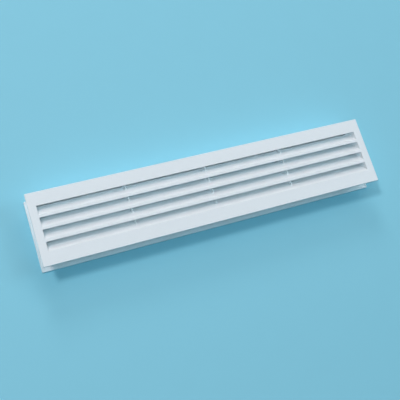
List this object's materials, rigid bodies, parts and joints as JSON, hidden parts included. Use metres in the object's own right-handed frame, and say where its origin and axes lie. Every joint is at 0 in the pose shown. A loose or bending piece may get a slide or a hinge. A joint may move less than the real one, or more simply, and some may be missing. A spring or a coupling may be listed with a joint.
{
  "type": "door vent grille",
  "caption": "Telescopic louvred door vent grille: two flanged halves whose sleeves slide together and clamp a door around a slot cut in it.",
  "frame": {"origin": "centre of the rear flange's outer face, on which the grille lies", "axes": "+Z out of the front flange, +X along the louvre blades, +Y up once the grille is mounted in a door"},
  "size_m": [0.455, 0.09, 0.036],
  "materials": {
    "white_plastic": "satin white moulded plastic"
  },
  "bodies": {
    "rear_half": {"rear_frame": "white_plastic", "rear_sleeve": "white_plastic", "rear_blade_1": "white_plastic", "rear_blade_2": "white_plastic", "rear_blade_3": "white_plastic", "rear_blade_4": "white_plastic", "rear_mullion_1": "white_plastic", "rear_mullion_2": "white_plastic", "rear_mullion_3": "white_plastic"},
    "front_half": {"front_frame": "white_plastic", "front_sleeve": "white_plastic", "front_blade_1": "white_plastic", "front_blade_2": "white_plastic", "front_blade_3": "white_plastic", "front_blade_4": "white_plastic", "front_mullion_1": "white_plastic", "front_mullion_2": "white_plastic", "front_mullion_3": "white_plastic"}
  },
  "joints": [
    {"name": "telescope", "type": "slide", "parent": "rear_half", "child": "front_half", "axis": [0, 0, 1], "range_m": [0, 0.01]}
  ]
}
